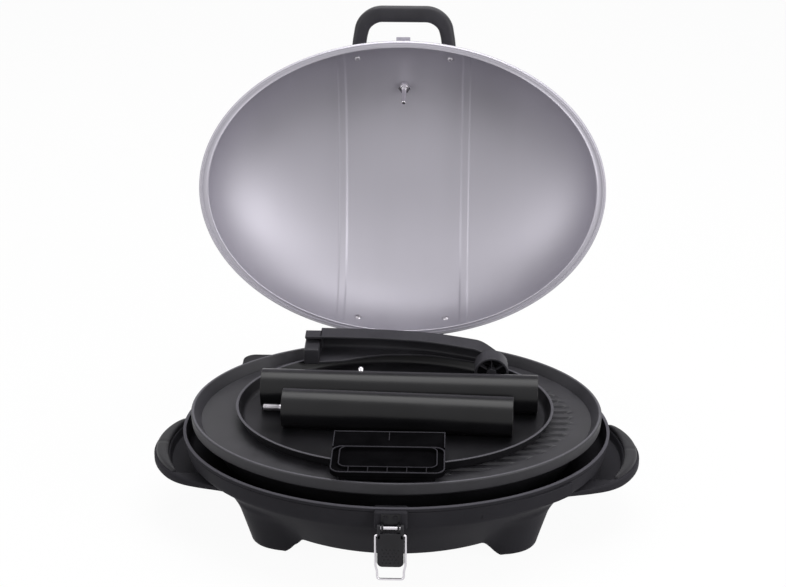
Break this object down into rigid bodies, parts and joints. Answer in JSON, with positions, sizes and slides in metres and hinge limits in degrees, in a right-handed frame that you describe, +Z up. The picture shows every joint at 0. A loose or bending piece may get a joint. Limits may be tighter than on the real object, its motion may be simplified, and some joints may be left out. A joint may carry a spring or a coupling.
{
  "type": "electric barbecue grill",
  "caption": "Oval electric barbecue grill with a hinged dome lid, latch, lid thermometer and grill plate, its stand's tubes, foot, pan and drip tray packed inside.",
  "frame": {"origin": "centre of the stand socket's mouth, on the surface that the feet stand on", "axes": "+X along the grill's length to the right, +Y from the latch to the hinge, +Z up"},
  "size_m": [0.602, 0.5901, 0.5501],
  "materials": {
    "black_moulding": "fine textured black plastic",
    "black_grip": "smooth satin black plastic",
    "plate_coating": "dark non-stick coating on cast metal",
    "lid_metal": "satin cool grey metal",
    "black_enamel": "black painted steel",
    "tube_paint": "glossy black painted steel tube",
    "bright_steel": "bright steel",
    "zinc_steel": "plated steel",
    "foot_plastic": "black plastic moulding",
    "rubber_pad": "black rubber",
    "dial_card": "pale dial card",
    "dial_glass": "clear",
    "needle_red": "red paint",
    "ceramic": "pale heat-proof moulding",
    "brass_strip": "plain brass"
  },
  "bodies": {
    "base": {"base_shell": "black_moulding", "left_grip": "black_grip", "right_grip": "black_grip", "foot_pads": "rubber_pad", "stand_socket": "black_moulding", "socket_screws": "zinc_steel", "heat_reflector": "black_enamel", "reflector_screws": "zinc_steel", "heating_element": "zinc_steel", "heater_clips": "zinc_steel", "terminal_block": "ceramic", "terminal_pins": "bright_steel", "earth_contact": "brass_strip", "probe_sleeve": "bright_steel", "socket_shroud": "black_moulding", "latch_bracket": "black_enamel", "latch_rivets": "bright_steel", "latch_pin": "bright_steel", "hinge_base_bracket": "black_enamel", "hinge_base_screws": "zinc_steel", "hinge_pin": "bright_steel"},
    "lid": {"lid_shell": "lid_metal", "lid_handle": "black_grip", "handle_screws": "zinc_steel", "lid_catch": "bright_steel", "catch_rivets": "bright_steel", "hinge_lid_bracket": "black_enamel", "hinge_lid_screws": "zinc_steel", "thermometer_case": "bright_steel", "thermometer_dial": "dial_card", "thermometer_glass": "dial_glass", "thermometer_stem": "bright_steel", "thermometer_nut": "bright_steel"},
    "thermometer_needle": {"thermometer_needle": "needle_red", "thermometer_spindle": "bright_steel"},
    "latch_lever": {"latch_lever": "black_grip"},
    "latch_bail": {"latch_bail": "bright_steel"},
    "grill_plate": {"grill_plate": "plate_coating"},
    "stand_pan": {"stand_pan": "black_enamel"},
    "long_tube": {"long_tube": "tube_paint", "button_spring": "bright_steel"},
    "snap_button": {"snap_button": "bright_steel"},
    "short_tube": {"short_tube": "tube_paint", "tube_plug": "black_grip", "stand_stud": "zinc_steel"},
    "stand_foot": {"stand_foot": "foot_plastic"},
    "drip_tray": {"drip_tray": "black_enamel"}
  },
  "joints": [
    {"name": "lid_hinge", "type": "hinge", "parent": "base", "child": "lid", "pos_m": [0, 0.213, 0.115], "axis": [-1, 0, 0], "range_deg": [-98, 0]},
    {"name": "needle_turn", "type": "hinge", "parent": "lid", "child": "thermometer_needle", "pos_m": [0, 0.35628, 0.43517], "axis": [0, -0.9611, -0.2761], "range_deg": [0, 270]},
    {"name": "latch_lever_hinge", "type": "hinge", "parent": "base", "child": "latch_lever", "pos_m": [0, -0.208, 0.093], "axis": [-1, 0, 0], "range_deg": [0, 105]},
    {"name": "latch_bail_hinge", "type": "hinge", "parent": "latch_lever", "child": "latch_bail", "pos_m": [0, -0.2091, 0.084], "axis": [1, 0, 0], "range_deg": [-178, 0]},
    {"name": "plate_lift", "type": "slide", "parent": "base", "child": "grill_plate", "axis": [0, 0, 1], "range_m": [0, 0.3]},
    {"name": "pan_lift", "type": "slide", "parent": "grill_plate", "child": "stand_pan", "axis": [0, 0, 1], "range_m": [0, 0.3]},
    {"name": "long_tube_lift", "type": "slide", "parent": "stand_pan", "child": "long_tube", "axis": [0, 0, 1], "range_m": [0, 0.3]},
    {"name": "snap_button_press", "type": "slide", "parent": "long_tube", "child": "snap_button", "axis": [0.0096, 0.4066, 0.9135], "range_m": [-0.004, 0], "stiffness_N_per_m": 600, "deforming": ["button_spring"]},
    {"name": "short_tube_lift", "type": "slide", "parent": "stand_pan", "child": "short_tube", "axis": [0, 0, 1], "range_m": [0, 0.3]},
    {"name": "foot_lift", "type": "slide", "parent": "stand_pan", "child": "stand_foot", "axis": [0, 0, 1], "range_m": [0, 0.3]},
    {"name": "tray_lift", "type": "slide", "parent": "stand_pan", "child": "drip_tray", "axis": [0, 0, 1], "range_m": [0, 0.3]}
  ]
}
